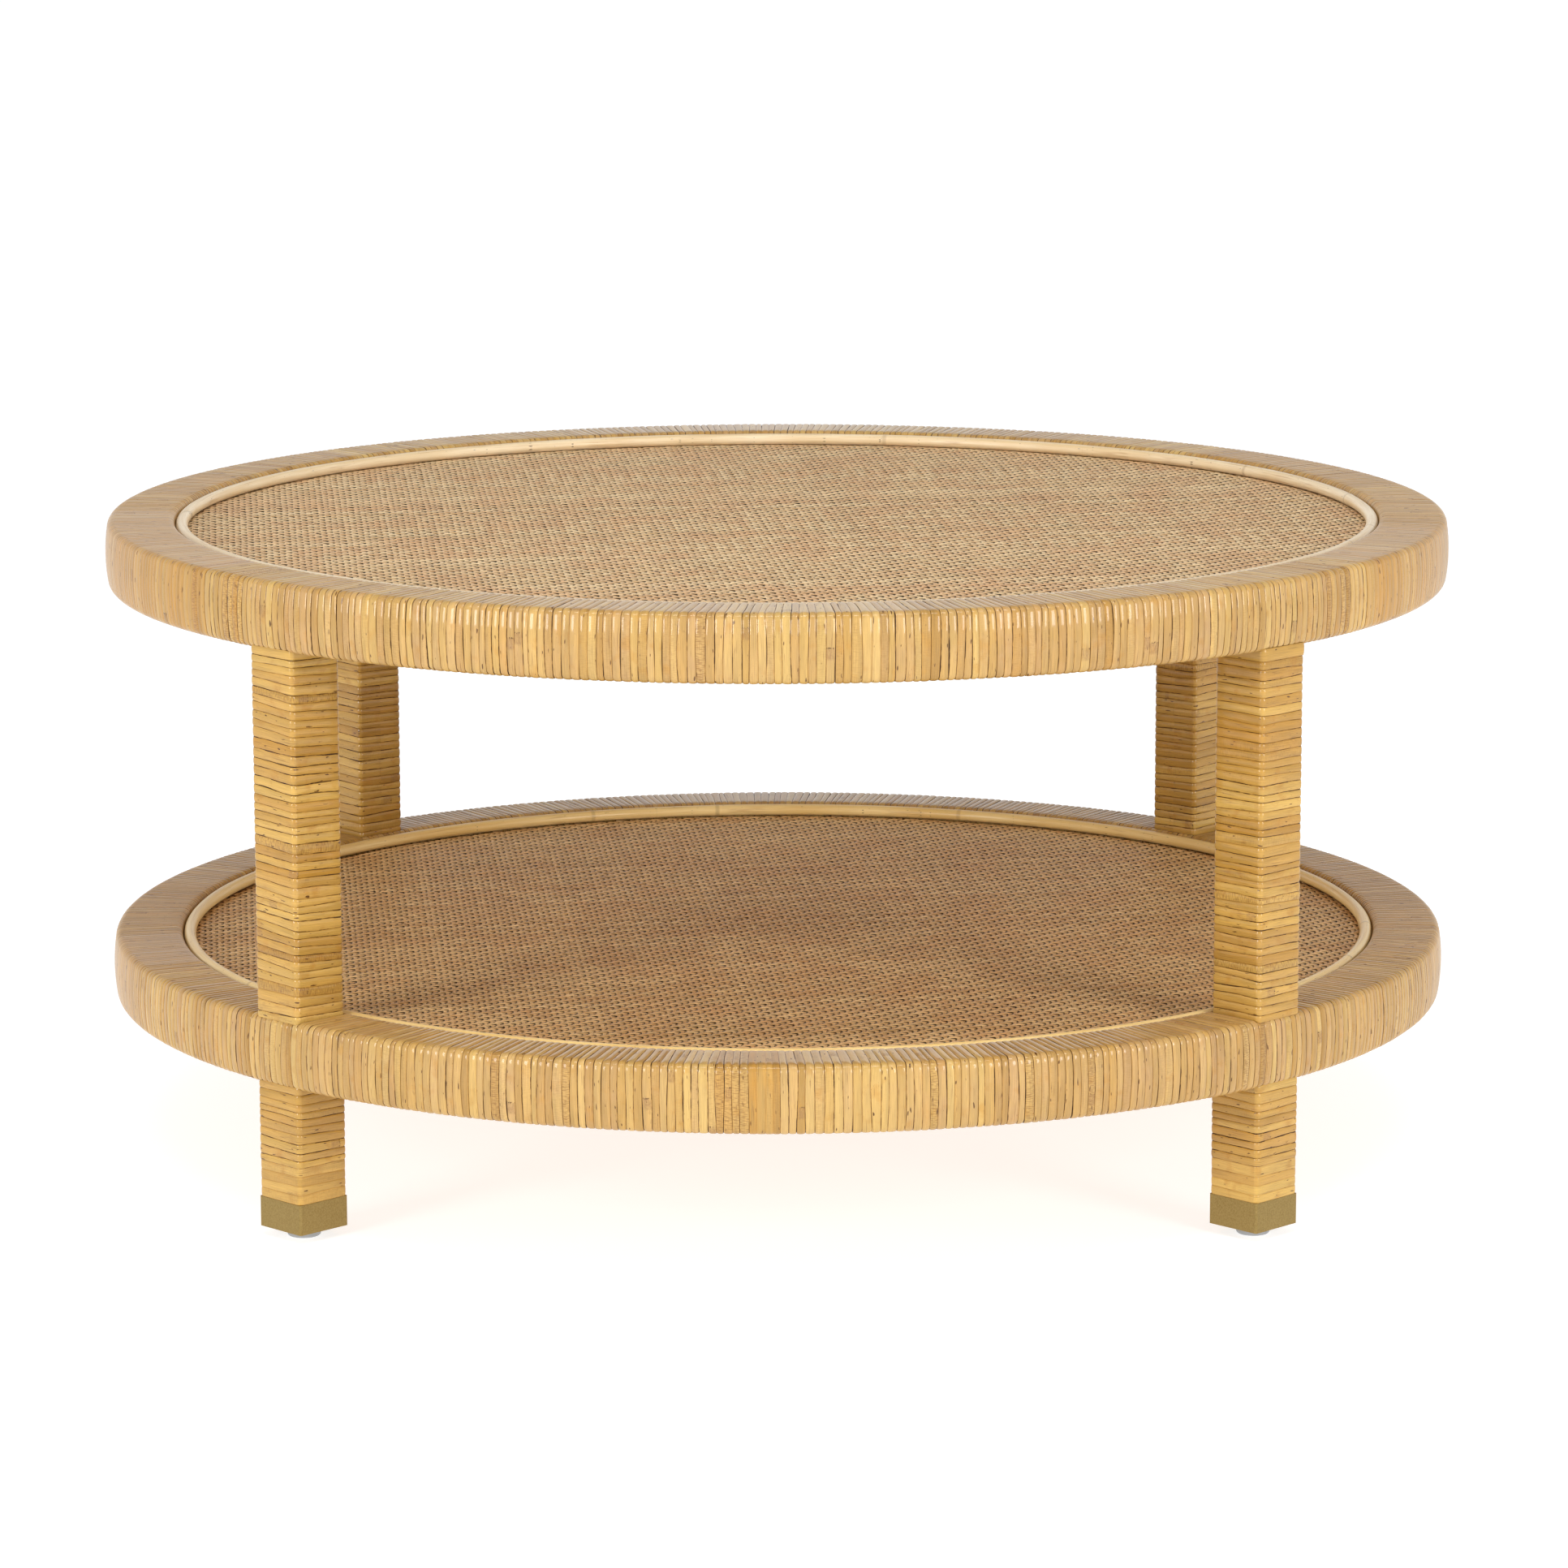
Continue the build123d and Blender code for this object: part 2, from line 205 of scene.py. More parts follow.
def wind(weft, place, run, length, width, count, rng, closed, slant=None, zones=(), lift=0.0, plain="plain"):
    """Lays count strips side by side, from edge 0 to edge 1 of a surface that is width across.

    place(edge, drop) gives points from positions across the surface and depths under it. slant(edges) is
    how far strips lean from straight, in metres, at each place along them. zones are (start, end, kind)
    shares of the width where strips are of another kind than plain.
    """
    sizes = rng.uniform(0.82, 1.18, count)
    edges = np.concatenate([[0], np.cumsum(sizes)]) / sizes.sum()
    middles = (edges[1:] + edges[:-1]) / 2
    step = 1 / count
    lines = edges[:, None] + step * waves(rng, run, count + 1, (0.06, 0.04, 0.03), length)
    if slant is not None:
        hold = np.minimum(np.minimum(edges, 1 - edges) / (6 * step), 1)[:, None]
        lines += hold * slant(edges) / width
    lines[0], lines[-1] = 0, 1
    tight = rng.choice([0.006, 0.02, 0.045], count + 1, p=[0.5, 0.36, 0.14])[:, None]
    gaps = tight + np.clip(waves(rng, run, count + 1, (0.03, 0.03, 0.03, 0.02), length) - 0.015, 0, 0.09)
    gaps[0], gaps[-1] = 0.01, 0.01
    kinds = [KINDS[next((kind for start, end, kind in zones if start <= m <= end), plain)] for m in middles]
    hue_drift = waves(rng, np.arange(count), 1, (0.5, 0.5, 0.4, 0.3), count * 1.3)[0]
    across = (PEEL_ACROSS + 1) / 2
    for k, kind in enumerate(kinds):
        low = lines[k] + gaps[k] * kind["open"] * step / 2
        high = lines[k + 1] - gaps[k + 1] * kind["open"] * step / 2
        edge = low[:, None] + (high - low)[:, None] * across
        rise = rng.uniform(0, 0.16) * MM * kind["dome"]
        tilt = rng.normal(0, 0.06) * MM * kind["dome"]
        drop = np.where(PEEL_DROP > 1 * MM, PEEL_DROP, PEEL_DROP * kind["dome"])
        drop = drop + 0.2 * MM - rise - tilt * PEEL_ACROSS - lift
        points = place(edge, np.broadcast_to(drop, edge.shape))
        uv = np.empty(edge.shape + (2,))
        uv[..., 0] = np.where(PEEL_DROP > 1 * MM, (PEEL_ACROSS > 0) * 1.0, across)
        uv[..., 1] = run[:, None] + rng.uniform(0, 40)
        muted = 1 - abs(kind["pale"]) - 0.6 * kind["orange"]
        tone = [
            np.clip(0.5 + 0.27 * rng.normal() + 0.16 * hue_drift[k] + kind["pale"], 0, 1.3),
            np.clip((0.4 + 0.26 * rng.normal() - 0.12 * hue_drift[k]) * muted, 0, 1),
            np.clip(kind["orange"] + 0.13 * rng.normal(), 0, 1),
            max(kind["rib"], float(rng.random() < 0.02), rng.uniform(-0.5, 0.35)),
        ]
        mark = np.full(len(run), 1.0)
        if rng.random() < 0.3:
            mark = run - rng.uniform(0, length)
        # How much painted shade this strip's seams get.
        seam_shade = kind["seam_shade"] * rng.choice([0.35, 0.7, 1.0])
        weft.add(points, uv, tone, mark[:, None], closed, seam_shade)


RING_LEAN = [0, 0, 0.05, 1, 0.9, 0]  # at the underside, outer face, outer edge, inner edge, inner face
RING_LEAN_AT = [0, 0.14, 0.36, 0.62, 0.85, 1]


# ---------------------------------------------------------------- surfaces that peel is wound on


def section_outline(low, high):
    """The ring's section as rows of (radius, height, normal out, normal up), from under its middle.

    It runs outward along the underside, up the outer face, inward over the top and down the inner face.
    The outer face bows a little, so its normals tip 9 degrees before the corners turn.
    """
    inner, outer, corner = RING_INNER, RING_OUTER, RING_CORNER_RADIUS
    tip = math.radians(9)
    half = (high - low) / 2
    face = half - corner * (1 - math.sin(tip))
    tips = np.concatenate([tip * np.linspace(0, 1, 5)[1:], np.linspace(tip, math.pi / 2, 8)[1:]])
    steps = np.concatenate([np.full(4, face / 4), np.full(7, corner * (math.pi / 2 - tip) / 7)])
    turning = (tips + np.concatenate([[0], tips[:-1]])) / 2
    outs = outer - np.cumsum(steps * np.sin(turning))
    ups = np.cumsum(steps * np.cos(turning))
    ups *= half / ups[-1]
    upper = [(out, (low + high) / 2 + up, math.cos(t), math.sin(t)) for out, up, t in zip(outs, ups, tips)]
    lower = [(out, low + high - up, across, -rise) for out, up, across, rise in reversed(upper)]
    rows = [((inner + outer) / 2, low, 0, -1)] + lower + [(outer, (low + high) / 2, 1, 0)] + upper
    for height, start in ((high - corner, 90), (low + corner, 180)):
        for turn in np.radians(start + np.linspace(0, 90, 7)):
            out, up = math.cos(turn), math.sin(turn)
            rows.append((inner + corner + corner * out, height + corner * up, out, up))
    return fill_straights(rows + rows[:1])[:-1]


def fill_straights(rows, longest=7 * MM):
    """Adds evenly spaced rows wherever two neighbours are further apart than longest."""
    filled = [rows[0]]
    for before, after in zip(rows, rows[1:]):
        gap = math.hypot(after[0] - before[0], after[1] - before[1])
        steps = max(1, math.ceil(gap / longest))
        for k in range(1, steps + 1):
            filled.append(tuple(a + (b - a) * k / steps for a, b in zip(before, after)))
    return np.array(filled)


def run_of(rows):
    """Distance along the rows, and the whole way round back to the first."""
    steps = np.hypot(*(np.roll(rows[:, :2], -1, 0) - rows[:, :2]).T)
    return np.concatenate([[0], np.cumsum(steps[:-1])]), steps.sum()


def ring_place(rows, angle, reach):
    """A surface round the table between two posts, or over one post where reach is 0.

    It is cut parallel to the posts at both ends, half a wrapped post from their middles.
    """
    radius, height, out, up = (rows[:, k, None] for k in range(4))

    def place(edge, drop):
        distance = radius - out * drop
        half = np.arcsin(LEG_HALF / distance)
        sweep = math.radians(reach) - half if reach else half
        turn = math.radians(angle) + (2 * edge - 1) * sweep
        return np.stack([distance * np.cos(turn), distance * np.sin(turn), height - up * drop], -1)

    return place


def post_outline(angle):
    """The wrapped post's outline in plan as rows of (x, y, normal x, normal y), from its inner face."""
    half, corner = LEG_HALF, LEG_CORNER_RADIUS
    rows = [(-half, 0.0, -1, 0)]
    for out, side, start in ((-1, -1, 180), (1, -1, 270), (1, 1, 0), (-1, 1, 90)):
        for turn in np.radians(start + np.linspace(0, 90, 7)):
            across, along = math.cos(turn), math.sin(turn)
            x = out * (half - corner) + corner * across
            y = side * (half - corner) + corner * along
            rows.append((x, y, across, along))
    rows.append(rows[0])
    local = fill_straights(rows, 8 * MM)[:-1]
    turn = math.radians(angle)
    spin = np.array([[math.cos(turn), -math.sin(turn)], [math.sin(turn), math.cos(turn)]])
    places = (local[:, :2] + [LEG_RADIUS, 0]) @ spin.T
    return np.concatenate([places, local[:, 2:] @ spin.T], 1)


def post_place(rows, low, high):
    """A post's wrapped surface between two heights."""
    x, y, out_x, out_y = (rows[:, k, None] for k in range(4))

    def place(edge, drop):
        height = low + (high - low) * edge
        return np.stack([x - out_x * drop, y - out_y * drop, height], -1)

    return place


# ---------------------------------------------------------------- materials


def linear(red, green, blue):
    """A colour given as 0 to 255 screen values, as Blender's linear RGBA."""
    values = [c / 255 for c in (red, green, blue)]
    return tuple(c / 12.92 if c < 0.04045 else ((c + 0.055) / 1.055) ** 2.4 for c in values) + (1.0,)


class Look:
    """A material whose node tree is put together one call at a time."""

    def __init__(self, name, **constants):
        self.material = bpy.data.materials.new(name)
        self.material.use_nodes = True
        self.tree = self.material.node_tree
        self.shader = self.tree.nodes["Principled BSDF"]
        for socket, value in constants.items():
            self.shader.inputs[socket.replace("_", " ")].default_value = value

    def node(self, kind, inputs=None, **settings):
        made = self.tree.nodes.new("ShaderNode" + kind)
        for key, value in settings.items():
            setattr(made, key, value)
        for key, value in (inputs or {}).items():
            if isinstance(value, bpy.types.NodeSocket):
                self.tree.links.new(value, made.inputs[key])
            else:
                made.inputs[key].default_value = value
        return made

    def math(self, operation, *values, clamp=False):
        made = self.node("Math", dict(enumerate(values)), operation=operation, use_clamp=clamp)
        return made.outputs[0]

    def smooth(self, value, low, high, to_low=0.0, to_high=1.0):
        inputs = {"Value": value, "From Min": low, "From Max": high, "To Min": to_low, "To Max": to_high}
        return self.node("MapRange", inputs, interpolation_type="SMOOTHSTEP").outputs[0]

    def mix(self, factor, first, second, blend="MIX"):
        made = self.node("Mix", {0: factor, 6: first, 7: second}, data_type="RGBA", blend_type=blend)
        return made.outputs[2]

    def noise(self, vector, scale, detail=2.0, roughness=0.5):
        inputs = {"Vector": vector, "Scale": scale, "Detail": detail, "Roughness": roughness}
        return self.node("TexNoise", inputs).outputs[0]

    def vector(self, *values):
        return self.node("CombineXYZ", dict(enumerate(values))).outputs[0]

    def finish(self, colour=None, roughness=None, height=None, distance=0.0001, strength=1.0):
        if colour is not None:
            self.tree.links.new(colour, self.shader.inputs["Base Color"])
        if roughness is not None:
            self.tree.links.new(roughness, self.shader.inputs["Roughness"])
        if height is not None:
            bump = self.node("Bump", {"Height": height, "Strength": strength, "Distance": distance})
            self.tree.links.new(bump.outputs[0], self.shader.inputs["Normal"])
        return self.material


def peel_look(name, light, deep, pink, orange, width):
    """Lacquered rattan peel: long fibres, brown growth marks, small pits and patchy painted shade along the
    seams.
    """
    look = Look(name, Roughness=0.45, Coat_Weight=0.6, Coat_Roughness=0.07, IOR=1.2)
    across, along = strip_sockets(look)
    tone = look.node("Attribute", attribute_name="tone")
    parts = look.node("SeparateColor", {0: tone.outputs["Color"]})
    bright, pinkness, orangeness = parts.outputs
    ribbed = tone.outputs["Alpha"]
    mark = look.node("Attribute", attribute_name="mark").outputs["Fac"]
    seam_shade = look.node("Attribute", attribute_name="seam_shade").outputs["Fac"]
    side = look.math("MULTIPLY", across, width)

    def grain(side_scale, along_scale, offset, detail, roughness):
        over = look.math("MULTIPLY", side, side_scale)
        place = look.vector(over, look.math("MULTIPLY", along, along_scale), offset)
        return look.noise(place, 1.0, detail, roughness)

    fibre = grain(2600, 45, 0.0, 3.0, 0.6)
    drift = grain(150, 16, 0.0, 2.0, 0.5)
    patch = grain(60, 55, 12.0, 2.0, 0.6)
    colour = look.mix(bright, deep, light)
    colour = look.mix(look.math("MULTIPLY", pinkness, look.smooth(patch, 0.3, 0.7, 0.4, 1.0)), colour, pink)
    golden = look.math("MULTIPLY", orangeness, look.smooth(drift, 0.3, 0.6, 0.5, 1.0))
    colour = look.mix(golden, colour, orange)
    colour = look.mix(look.smooth(patch, 0.54, 0.72, 0.0, 0.5), colour, orange)
    fine = look.smooth(fibre, 0.3, 0.7, 0.82, 1.07)
    shade = look.math("ADD", fine, look.smooth(drift, 0.35, 0.65, -0.09, 0.07))
    colour = look.mix(1.0, colour, look.vector(shade, shade, shade), "MULTIPLY")

    # Growth marks: a greyish patch of brown strokes where the cane had a joint, with a scar along one side.
    near = look.math("SUBTRACT", 1.0, look.smooth(look.math("ABSOLUTE", mark), 0.0028, 0.005))
    strokes = grain(900, 330, 3.0, 3.0, 0.7)
    stain = look.math("MULTIPLY", near, look.smooth(strokes, 0.4, 0.62, 0.35, 1.0))
    colour = look.mix(look.math("MULTIPLY", stain, 0.55), colour, linear(136, 98, 66))
    off_middle = look.math("ABSOLUTE", look.math("SUBTRACT", mark, 0.0042))
    on_scar = look.math("SUBTRACT", 1.0, look.smooth(off_middle, 0.0002, 0.0009))
    scar = look.math("MULTIPLY", on_scar, look.smooth(strokes, 0.5, 0.56))
    colour = look.mix(look.math("MULTIPLY", scar, 0.85), colour, linear(70, 38, 18))

    # Pits, scratches and brown specks.
    fleck_noise = grain(520, 120, 9.0, 1.0, 0.4)
    pits = look.math("MULTIPLY", look.smooth(grain(330, 150, 30.0, 1.0, 0.4), 0.7, 0.73), orangeness)
    fleck = look.math("MAXIMUM", look.smooth(fleck_noise, 0.715, 0.75), pits)
    colour = look.mix(look.math("MULTIPLY", fleck, 0.9), colour, linear(78, 44, 20))
    speck = look.smooth(grain(1500, 420, 15.0, 2.0, 0.6), 0.66, 0.72)
    speckled = look.math("MULTIPLY", speck, look.smooth(patch, 0.45, 0.6, 0.0, 0.6))
    colour = look.mix(speckled, colour, linear(120, 80, 44))

    scratch = look.smooth(grain(1300, 34, 21.0, 2.0, 0.6), 0.64, 0.7)
    colour = look.mix(look.math("MULTIPLY", scratch, 0.55), colour, linear(104, 66, 34))

    # Cross lines on strips laid inside out, and faintly on some others.
    lines = grain(240, 1500, 5.0, 1.0, 0.5)
    rib = look.math("MULTIPLY", look.math("MAXIMUM", ribbed, 0.0), look.smooth(lines, 0.45, 0.62))
    colour = look.mix(look.math("MULTIPLY", rib, 0.5), colour, linear(118, 76, 38))

    # Painted shade darkens the seams here and there, and the strips' edges turn a little more orange.
    centre = look.math("ABSOLUTE", look.math("SUBTRACT", look.math("MULTIPLY", across, 2.0), 1.0))
    seam_place = look.vector(look.math("MULTIPLY", across, 3.0), look.math("MULTIPLY", along, 70), 1.0)
    patchy = look.noise(seam_place, 1.0, 3.0, 0.6)
    shaded = look.math("MULTIPLY", seam_shade, look.smooth(patchy, 0.4, 0.56, 0.12, 1.0))
    reach = look.math("SUBTRACT", 1.0, look.math("MULTIPLY", shaded, 0.1))
    band = look.smooth(look.math("SUBTRACT", centre, reach), -0.03, 0.02)
    seam_shade_mask = look.math("MULTIPLY", band, shaded)
    colour = look.mix(look.math("MULTIPLY", look.smooth(centre, 0.6, 1.0), 0.22), colour, orange)
    colour = look.mix(look.math("MULTIPLY", seam_shade_mask, 0.9), colour, linear(70, 40, 18))

    sunk = look.math("ADD", fleck, look.math("MULTIPLY", rib, 0.8))
    height = look.math("SUBTRACT", look.math("MULTIPLY", fibre, 0.25), sunk)
    height = look.math("SUBTRACT", height, look.math("ADD", scar, look.math("MULTIPLY", patch, 1.5)))
    roughness = look.math("ADD", look.smooth(fibre, 0.2, 0.8, 0.4, 0.52), look.math("MULTIPLY", stain, 0.2))
    return look.finish(colour, roughness, height, 0.00012, 0.7)


def strip_sockets(look):
    """Position across a strip, 0 to 1, and along it in metres."""
    uv = look.node("UVMap", uv_map="strip")
    parts = look.node("SeparateXYZ", {0: uv.outputs[0]})
    return parts.outputs[0], parts.outputs[1]


def mat_look(name, light, deep, warm, slot_shade_and_burn_colour):
    """Woven rattan core: flat strands, each its own tone, with painted shade where they dive and along their
    edges, and small burnt specks.
    """
    look = Look(name, Roughness=0.5, Coat_Weight=0.1, Coat_Roughness=0.3, IOR=1.4)
    across, along = strip_sockets(look)
    tone = look.node("Attribute", attribute_name="tone")
    parts = look.node("SeparateColor", {0: tone.outputs["Color"]})
    dive = look.node("Attribute", attribute_name="mark").outputs["Fac"]
    place = look.node("TexCoord").outputs["Object"]
    fibre_place = look.vector(look.math("MULTIPLY", across, 9), look.math("MULTIPLY", along, 90), 0.0)
    fibre = look.noise(fibre_place, 1.0, 3.0, 0.65)
    patches = look.noise(look.vector(0.0, look.math("MULTIPLY", along, 26), 4.0), 1.0, 2.0, 0.6)
    clouds = look.noise(place, 22.0, 4.0, 0.65)
    colour = look.mix(parts.outputs[0], deep, light)
    strand_warmth = look.math("MULTIPLY", parts.outputs[1], 0.45)
    warmth = look.math("ADD", strand_warmth, look.smooth(clouds, 0.42, 0.62, -0.1, 0.45))
    colour = look.mix(look.math("MAXIMUM", warmth, 0.0), colour, warm)
    fine = look.smooth(fibre, 0.3, 0.7, 0.84, 1.08)
    shade = look.math("ADD", fine, look.smooth(patches, 0.3, 0.7, -0.12, 0.1))
    colour = look.mix(1.0, colour, look.vector(shade, shade, shade), "MULTIPLY")
    # Small burnt specks, in the same dark brown that is painted as shade in the slots.
    burnt = look.smooth(look.noise(place, 190.0, 2.0, 0.6), 0.68, 0.74)
    colour = look.mix(look.math("MULTIPLY", burnt, 0.7), colour, slot_shade_and_burn_colour)
    # Painted shade: strand edges darken towards the dark brown, more so near a dive, and the diving parts
    # darken most of all.
    centre = look.math("ABSOLUTE", look.math("SUBTRACT", look.math("MULTIPLY", across, 2.0), 1.0))
    edge = look.math("MULTIPLY", look.smooth(centre, 0.75, 1.0), look.smooth(dive, 0.2, 0.6, 0.3, 0.95))
    colour = look.mix(edge, colour, slot_shade_and_burn_colour)
    colour = look.mix(look.smooth(dive, 0.4, 0.85, 0.0, 0.93), colour, slot_shade_and_burn_colour)
    return look.finish(colour, look.smooth(fibre, 0.2, 0.8, 0.42, 0.58), fibre, 0.0001, 0.6)


def reed_look(name, light, deep, stain):
    """Pale peeled reed with streaks of skin, faint growth rings and small brown flecks."""
    look = Look(name, Roughness=0.4, Coat_Weight=0.3, Coat_Roughness=0.2, IOR=1.48)
    across, along = strip_sockets(look)
    mark = look.node("Attribute", attribute_name="mark").outputs["Fac"]

    def grain(across_scale, along_scale, offset, detail, roughness=0.5):
        over = look.math("MULTIPLY", across, across_scale)
        place = look.vector(over, look.math("MULTIPLY", along, along_scale), offset)
        return look.noise(place, 1.0, detail, roughness)

    fibre = grain(60, 30, 0.0, 3.0, 0.6)
    colour = look.mix(look.smooth(grain(3, 9, 2.0, 2.0), 0.3, 0.7), deep, light)
    colour = look.mix(look.smooth(fibre, 0.35, 0.75, 0.0, 0.35), colour, stain)
    skin = look.smooth(grain(9, 14, 4.0, 3.0, 0.6), 0.56, 0.72, 0.0, 0.55)
    colour = look.mix(skin, colour, linear(172, 124, 70))
    colour = look.mix(look.smooth(grain(16, 190, 7.0, 1.0), 0.7, 0.77, 0.0, 0.8), colour, linear(96, 64, 36))
    ring = look.math("SUBTRACT", 1.0, look.smooth(look.math("ABSOLUTE", mark), 0.0006, 0.0026))
    colour = look.mix(look.math("MULTIPLY", ring, 0.3), colour, linear(134, 98, 60))
    return look.finish(colour, look.smooth(fibre, 0.2, 0.8, 0.34, 0.46), fibre, 0.0001, 0.4)


def wood_look(name, light, dark, stretch, roughness=0.55):
    """Plain timber: stretched rings and fine pores, in the part's own coordinates."""
    look = Look(name, Roughness=roughness)
    place = look.node("TexCoord").outputs["Object"]
    grain_place = look.node("Mapping", {"Vector": place, "Scale": stretch}).outputs[0]
    grain = look.noise(grain_place, 1.0, 5.0, 0.62)
    pores = look.noise(grain_place, 9.0, 2.0, 0.5)
    colour = look.mix(look.smooth(grain, 0.32, 0.68), dark, light)
    colour = look.mix(look.smooth(pores, 0.55, 0.75, 0.0, 0.3), colour, dark)
    return look.finish(colour, None, grain, 0.0003, 0.3)


def metal_look(name, colour, dark, roughness, stretch):
    """Satin metal with faint brushing and slightly uneven tarnish."""
    look = Look(name, Metallic=1.0)
    place = look.node("TexCoord").outputs["Object"]
    brushed = look.noise(look.node("Mapping", {"Vector": place, "Scale": stretch}).outputs[0], 1.0, 3.0, 0.6)
    tarnish = look.noise(place, 900.0, 4.0, 0.7)
    mixed = look.mix(look.smooth(tarnish, 0.3, 0.75), colour, dark)
    uneven = look.smooth(brushed, 0.25, 0.75, roughness - 0.06, roughness + 0.08)
    return look.finish(mixed, uneven, brushed, 0.00004, 0.4)


def plastic_look(name, colour, dark):
    """Moulded plastic with a fine matt skin and light scuffs."""
    look = Look(name, IOR=1.49)
    place = look.node("TexCoord").outputs["Object"]
    skin = look.noise(place, 1800.0, 2.0)
    scuffs = look.noise(place, 110.0, 4.0, 0.7)
    mixed = look.mix(look.smooth(scuffs, 0.45, 0.8, 0.0, 0.5), colour, dark)
    return look.finish(mixed, look.smooth(scuffs, 0.3, 0.7, 0.38, 0.55), skin, 0.00005, 0.4)


def shade_sheet_look(name):
    """A dark sheet with a fine grain, under the weave, that paints the shade seen through the weave's gaps.
    """
    look = Look(name, Roughness=0.9)
    place = look.node("TexCoord").outputs["Object"]
    sheet_grain = look.noise(place, 1400.0, 2.0)
    return look.finish(look.mix(sheet_grain, linear(46, 30, 18), linear(74, 50, 30)), None, sheet_grain, 0.0001, 0.5)


# Each peel's colours: light, deep, pink and orange.
RING_COLOURS = [linear(204, 169, 102), linear(172, 132, 68), linear(188, 150, 102), linear(182, 132, 54)]
LEG_COLOURS = [linear(204, 165, 86), linear(172, 128, 52), linear(188, 146, 80), linear(174, 122, 44)]
ring_peel = peel_look("ring_peel", *RING_COLOURS, PEEL_PITCH)
leg_peel = peel_look("leg_peel", *LEG_COLOURS, COURSE_PITCH)
# Each mat's colours: light, deep, warm, and a dark brown used both for the painted shade in the slots
# between strands and for burnt specks.
TOP_COLOURS = [linear(236, 206, 158), linear(204, 166, 114), linear(214, 166, 116), linear(34, 18, 8)]
SHELF_COLOURS = [linear(240, 200, 140), linear(206, 162, 102), linear(214, 162, 102), linear(36, 18, 8)]
mat_looks = {"top": mat_look("top_weave", *TOP_COLOURS), "shelf": mat_look("shelf_weave", *SHELF_COLOURS)}
reed_looks = {
    "top": reed_look("top_reed", linear(240, 220, 184), linear(226, 198, 152), linear(196, 160, 108)),
    "shelf": reed_look("shelf_reed", linear(246, 218, 152), linear(232, 196, 122), linear(206, 160, 90)),
}
# A dark sheet under each weave, which paints the shade seen through the gaps between strands.
shade_sheet = shade_sheet_look("shade_sheet")
hidden_timber = wood_look("stained_timber", linear(92, 62, 36), linear(58, 38, 22), (90, 90, 9))

# ---------------------------------------------------------------- peel on the rings

# Where strips look different, as (start, end, kind) shares of a rail, clockwise end last.
ZONES = {
    ("top", "left"): [(0.0, 0.5, "quiet"), (0.5, 0.93, "merged"), (0.965, 0.995, "ribbed")],
    ("top", "right"): [(0.052, 0.075, "ribbed"), (0.1, 0.35, "merged"), (0.35, 1.0, "quiet")],
    ("shelf", "front"): [(0.445, 0.475, "ribbed"), (0.475, 0.5, "merged")],
    ("shelf", "left"): [(0.0, 0.6, "quiet"), (0.6, 0.75, "merged")],
    ("shelf", "right"): [(0.3, 1.0, "quiet")],
}

CORE_DEPTH = 1.45 * MM  # from the peel's crown down to the rail
rng = np.random.default_rng(7)
for ring in RINGS:
    section = section_outline(*RING_SPAN[ring])
    run, length = run_of(section)
    leaning = np.interp(run / length, RING_LEAN_AT, RING_LEAN)
    arc = math.radians(90) * RING_OUTER - 2 * LEG_HALF
    for side, angle in SIDES.items():
        weft = Weft()
        phases = rng.uniform(0, 2 * np.pi, 3)

        def ring_slant(edges):
            swing = sum(np.sin((k + 1.5) * 2 * np.pi * edges + phases[k]) / (k + 1) for k in range(3))
            return 2.4 * MM * swing[:, None] * leaning

        count = round(arc / PEEL_PITCH)
        zones = ZONES.get((ring, side), [])
        wind(weft, ring_place(section, angle, 45), run, length, arc, count, rng, True, ring_slant, zones)
        weft.build(f"{ring}_ring_peel_{side}", ring_peel, [f"{ring}_rail_wrap_{side}"])

        # The rail under the peel follows the bow of its face.
        weft = Weft()
        rows = section[: len(section) // 2 * 2]
        cuts = np.linspace(0, 1, 61)[:, None, None]
        core = np.stack([ring_place(rows, angle, 45)(cut, CORE_DEPTH)[:, 0] for cut in cuts])
        weft.add(core, np.zeros(core.shape[:2] + (2,)), [0, 0, 0, 0], 0.0, False)
        weft.build(f"{ring}_ring_core_{side}", hidden_timber, [f"{ring}_rail_core_{side}"])

    # Facings: upright strips over each post, from under the ring's outer edge to its inner edge.
    for corner, angle in CORNERS.items():
        weft = Weft()
        count = round(2 * LEG_HALF / PEEL_PITCH)
        stretches = [section[(run > 0.1 * length) & (run < 0.9 * length)]]
        if ring == "shelf":
            outside = (section[:, 0] > LEG_RADIUS + LEG_HALF - 2 * MM) & (run > 0.04 * length)
            stretches = [section[outside], section[section[:, 0] < LEG_RADIUS - LEG_HALF + 1 * MM]]
        for rows in stretches:
            rows_run = np.concatenate([[0], np.cumsum(np.hypot(*np.diff(rows[:, :2], axis=0).T))])
            wind(weft, ring_place(rows, angle, 0), rows_run, length, 2 * LEG_HALF, count, rng, False)
        weft.build(f"{ring}_leg_strips_{corner}", ring_peel, [f"{ring}_leg_facing_{corner}"])

# ---------------------------------------------------------------- peel on the posts

